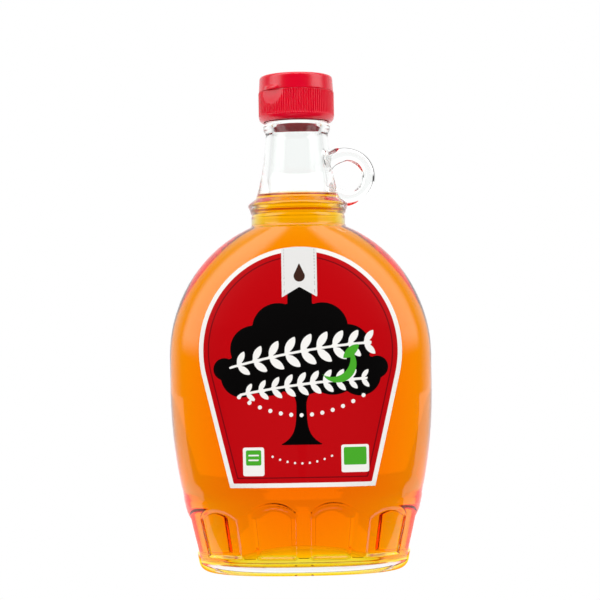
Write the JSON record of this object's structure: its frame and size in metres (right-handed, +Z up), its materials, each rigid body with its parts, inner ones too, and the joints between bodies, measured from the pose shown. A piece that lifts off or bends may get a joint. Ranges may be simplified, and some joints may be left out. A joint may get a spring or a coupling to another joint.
{
  "type": "maple syrup bottle",
  "caption": "Oval glass flask of amber maple syrup with a ring handle on its neck, a fluted base, an arched red front label and a red flip cap.",
  "frame": {"origin": "middle of the base, on the surface that the bottle stands on", "axes": "+Z up through the neck, -Y out of the labelled front, +X towards the ring handle"},
  "size_m": [0.1102, 0.0602, 0.2078],
  "materials": {
    "clear_glass": "polished",
    "amber_syrup": "clear liquid",
    "printed_paper": "satin print",
    "red_plastic": "moulded gloss"
  },
  "bodies": {
    "root": {"bottle_glass": "clear_glass", "syrup": "amber_syrup", "front_label": "printed_paper", "cap_base": "red_plastic", "cap_lid": "red_plastic"}
  },
  "joints": []
}
